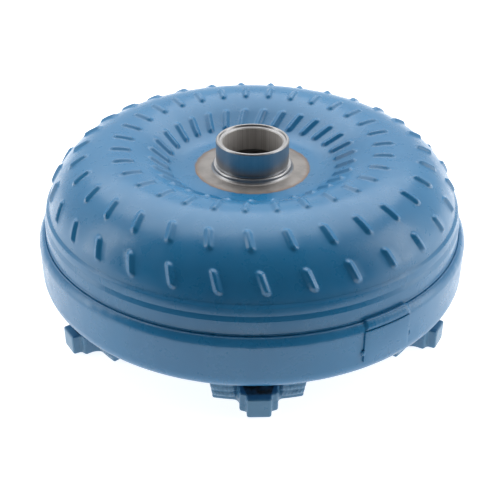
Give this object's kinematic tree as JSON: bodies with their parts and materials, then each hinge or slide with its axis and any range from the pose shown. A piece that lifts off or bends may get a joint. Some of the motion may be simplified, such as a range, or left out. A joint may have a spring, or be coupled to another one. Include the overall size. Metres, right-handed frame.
{
  "type": "torque converter",
  "caption": "Lock-up torque converter: welded drum with pump hub, drive lugs, impeller, turbine, stator with one-way clutch, damper and lock-up piston.",
  "frame": {"origin": "on the turning axis, in the plane of the drive lugs' faces", "axes": "+Z along the turning axis from the drive lugs to the pump hub; the first drive lug points along -Y"},
  "size_m": [0.31, 0.31, 0.126],
  "materials": {
    "blue_paint": "satin gloss blue enamel over steel",
    "machined_steel": "finely turned, oiled",
    "weld_metal": "ground flush",
    "pressed_steel": "brazed sheet steel",
    "turned_steel": "turned and hardened",
    "stamped_steel": "stamped sheet steel",
    "spring_steel": "blued spring steel",
    "friction_paper": "resin-bonded friction paper",
    "seal_rubber": "smooth",
    "cast_aluminium": "die cast",
    "cap_aluminium": "machined",
    "cage_steel": "pressed",
    "bearing_steel": "ground"
  },
  "bodies": {
    "housing": {"front_cover": "blue_paint", "crank_pilot": "machined_steel", "drive_lug_1": "blue_paint", "drive_lug_2": "blue_paint", "drive_lug_3": "blue_paint", "drive_lug_4": "blue_paint", "drive_lug_5": "blue_paint", "drive_lug_6": "blue_paint", "lug_welds": "blue_paint", "impeller_shell": "blue_paint", "closure_weld": "blue_paint", "balance_weight": "blue_paint", "weight_tacks": "blue_paint", "pump_hub": "machined_steel", "hub_weld": "weld_metal", "impeller_blades": "pressed_steel", "impeller_core_ring": "pressed_steel", "front_bearing_race": "bearing_steel", "rear_bearing_race": "bearing_steel"},
    "turbine": {"turbine_shell": "pressed_steel", "turbine_blades": "pressed_steel", "turbine_core_ring": "pressed_steel", "turbine_hub": "turned_steel", "turbine_rivets": "turned_steel", "piston_inner_seal": "seal_rubber", "damper_driven_plate": "stamped_steel", "middle_bearing_race": "bearing_steel"},
    "damper": {"damper_front_retainer": "stamped_steel", "damper_rear_retainer": "stamped_steel", "damper_spacer_rivets": "turned_steel", "damper_spring_1": "spring_steel", "damper_spring_2": "spring_steel", "damper_spring_3": "spring_steel", "damper_spring_4": "spring_steel", "damper_spring_5": "spring_steel", "damper_spring_6": "spring_steel"},
    "piston": {"lockup_piston": "stamped_steel", "friction_lining": "friction_paper"},
    "stator": {"stator_wheel": "cast_aluminium", "clutch_cam_race": "turned_steel", "clutch_rollers": "bearing_steel", "clutch_springs": "spring_steel", "stator_front_cap": "cap_aluminium", "stator_rear_cap": "cap_aluminium", "stator_front_snap_ring": "spring_steel", "stator_rear_snap_ring": "spring_steel"},
    "stator_race": {"clutch_inner_race": "turned_steel"},
    "front_bearing": {"front_bearing_cage": "cage_steel", "front_bearing_needles": "bearing_steel"},
    "middle_bearing": {"middle_bearing_cage": "cage_steel", "middle_bearing_needles": "bearing_steel"},
    "rear_bearing": {"rear_bearing_cage": "cage_steel", "rear_bearing_needles": "bearing_steel"}
  },
  "joints": [
    {"name": "turbine_spin", "type": "hinge", "parent": "housing", "child": "turbine", "pos_m": [0, 0, 0.066], "axis": [0, 0, 1], "continuous": true},
    {"name": "damper_windup", "type": "hinge", "parent": "turbine", "child": "damper", "pos_m": [0, 0, 0.0375], "axis": [0, 0, 1], "range_deg": [-8, 8], "stiffness_Nm_per_rad": 900, "deforming": ["damper_spring_1", "damper_spring_2", "damper_spring_3", "damper_spring_4", "damper_spring_5", "damper_spring_6"]},
    {"name": "lockup_slide", "type": "slide", "parent": "damper", "child": "piston", "axis": [0, 0, 1], "range_m": [0, 0.001]},
    {"name": "stator_spin", "type": "hinge", "parent": "housing", "child": "stator", "pos_m": [0, 0, 0.0835], "axis": [0, 0, 1], "continuous": true},
    {"name": "clutch_freewheel", "type": "hinge", "parent": "stator", "child": "stator_race", "pos_m": [0, 0, 0.0835], "axis": [0, 0, 1], "range_deg": [-360, 0]},
    {"name": "front_bearing_spin", "type": "hinge", "parent": "housing", "child": "front_bearing", "pos_m": [0, 0, 0.02215], "axis": [0, 0, 1], "continuous": true},
    {"name": "middle_bearing_spin", "type": "hinge", "parent": "housing", "child": "middle_bearing", "pos_m": [0, 0, 0.07015], "axis": [0, 0, 1], "continuous": true},
    {"name": "rear_bearing_spin", "type": "hinge", "parent": "housing", "child": "rear_bearing", "pos_m": [0, 0, 0.09675], "axis": [0, 0, 1], "continuous": true}
  ],
  "couplings": [
    {"joint": "front_bearing_spin", "follows": "turbine_spin", "ratio": 0.5},
    {"joint": "middle_bearing_spin", "follows": "turbine_spin", "ratio": 0.5},
    {"joint": "rear_bearing_spin", "follows": "stator_spin", "ratio": 0.5}
  ]
}
